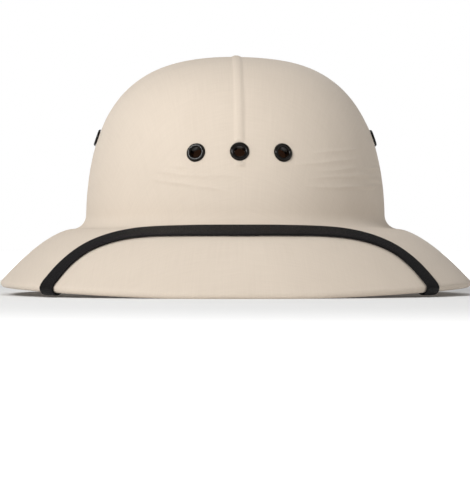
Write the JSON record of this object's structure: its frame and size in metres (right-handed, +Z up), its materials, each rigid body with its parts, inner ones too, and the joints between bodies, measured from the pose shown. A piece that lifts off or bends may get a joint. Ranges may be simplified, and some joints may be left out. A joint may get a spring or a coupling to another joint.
{
  "type": "pith helmet",
  "caption": "Domed, cloth-covered sun helmet with a wide down-curved brim, a centre ridge, vent eyelets, a headband inside and a chin strap stowed over the front brim.",
  "frame": {"origin": "middle of the helmet's width and length, on the plane that the front and the back of the rim rest on", "axes": "+Z up through the crown, -Y towards the front where the strap lies, +X to the right as seen from the front"},
  "size_m": [0.292, 0.331, 0.1484],
  "materials": {
    "cream_cloth": "matt cotton cloth drawn over a pressed shell",
    "brown_lining": "matt thin cloth",
    "black_lacquer": "glossy black lacquer",
    "black_leatherette": "semi-gloss, fine grain",
    "brown_felt": "matt felt"
  },
  "bodies": {
    "root": {"shell": "cream_cloth", "crown_lining": "brown_lining", "headband": "black_leatherette", "chin_strap": "black_leatherette", "strap_rivet_left": "black_lacquer", "strap_rivet_right": "black_lacquer", "eyelet_front_left": "black_lacquer", "eyelet_front_centre": "black_lacquer", "eyelet_front_right": "black_lacquer", "eyelet_side_left": "black_lacquer", "eyelet_side_right": "black_lacquer", "eyelet_back_left": "black_lacquer", "eyelet_back_centre": "black_lacquer", "eyelet_back_right": "black_lacquer", "band_spacer_front_left": "brown_felt", "band_spacer_front_right": "brown_felt", "band_spacer_side_left": "brown_felt", "band_spacer_side_right": "brown_felt", "band_spacer_back_left": "brown_felt", "band_spacer_back_right": "brown_felt"}
  },
  "joints": []
}
